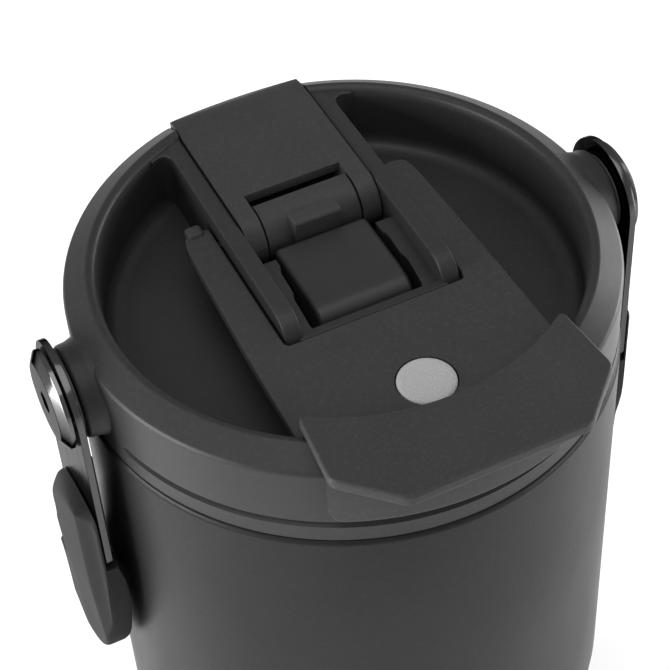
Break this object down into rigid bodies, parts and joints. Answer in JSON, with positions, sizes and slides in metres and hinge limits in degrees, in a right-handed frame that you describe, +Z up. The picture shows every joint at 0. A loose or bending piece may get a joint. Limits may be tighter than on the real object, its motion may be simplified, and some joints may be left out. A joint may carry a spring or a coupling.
{
  "type": "insulated travel mug",
  "caption": "Vacuum-insulated steel mug with a screw-in lid, flip spout, flip-up sip cover and a swinging carry handle with soft grips.",
  "frame": {"origin": "centre of the flat face of the foot pad, on the surface the mug stands on", "axes": "+Z up along the cup axis, -Y towards the drinking side and its thumb tab, X along the handle pivots and the lid hinge"},
  "size_m": [0.1216, 0.1204, 0.211],
  "materials": {
    "cup_steel": "matte powder coat",
    "bare_steel": "brushed",
    "pivot_steel": "polished",
    "lid_plastic": "fine matte",
    "cover_plastic": "fine matte",
    "grip_rubber": "soft matte",
    "grey_silicone": "matte",
    "clear_silicone": "translucent, matte",
    "dark_silicone": "matte",
    "brass": "turned",
    "nylon": "natural nylon"
  },
  "bodies": {
    "cup": {"outer_shell": "cup_steel", "inner_liner": "bare_steel", "base_plate": "bare_steel", "vacuum_getter": "bare_steel", "base_pad": "dark_silicone"},
    "lid": {"lid_body": "lid_plastic", "lid_plug": "lid_plastic", "plug_floor": "lid_plastic", "lid_gasket": "clear_silicone", "straw": "clear_silicone", "spout_seal": "clear_silicone", "hinge_cover": "cover_plastic", "vent_plug": "clear_silicone", "hinge_pin_left": "pivot_steel", "hinge_pin_right": "pivot_steel", "lug_insert_left": "brass", "lug_insert_right": "brass", "pivot_washer_left": "nylon", "pivot_washer_right": "nylon", "pivot_screw_left": "pivot_steel", "pivot_screw_right": "pivot_steel"},
    "sip_cover": {"flip_cover": "cover_plastic", "sip_stopper": "grey_silicone"},
    "spout": {"spout_barrel": "cover_plastic", "spout_mouth": "dark_silicone"},
    "handle": {"handle_arm_left": "bare_steel", "handle_arm_right": "bare_steel", "handle_grip": "grip_rubber", "grip_rivet_left": "bare_steel", "grip_rivet_right": "bare_steel"}
  },
  "joints": [
    {"name": "lid_lift", "type": "slide", "parent": "cup", "child": "lid", "axis": [0, 0, 1], "range_m": [0, 0.05]},
    {"name": "cover_hinge", "type": "hinge", "parent": "lid", "child": "sip_cover", "pos_m": [0, 0.017, 0.2016], "axis": [-1, 0, 0], "range_deg": [0, 105]},
    {"name": "spout_hinge", "type": "hinge", "parent": "lid", "child": "spout", "pos_m": [0, 0.017, 0.2016], "axis": [-1, 0, 0], "range_deg": [0, 70]},
    {"name": "handle_pivot", "type": "hinge", "parent": "lid", "child": "handle", "pos_m": [0, 0, 0.197], "axis": [1, 0, 0], "range_deg": [0, 180]}
  ]
}
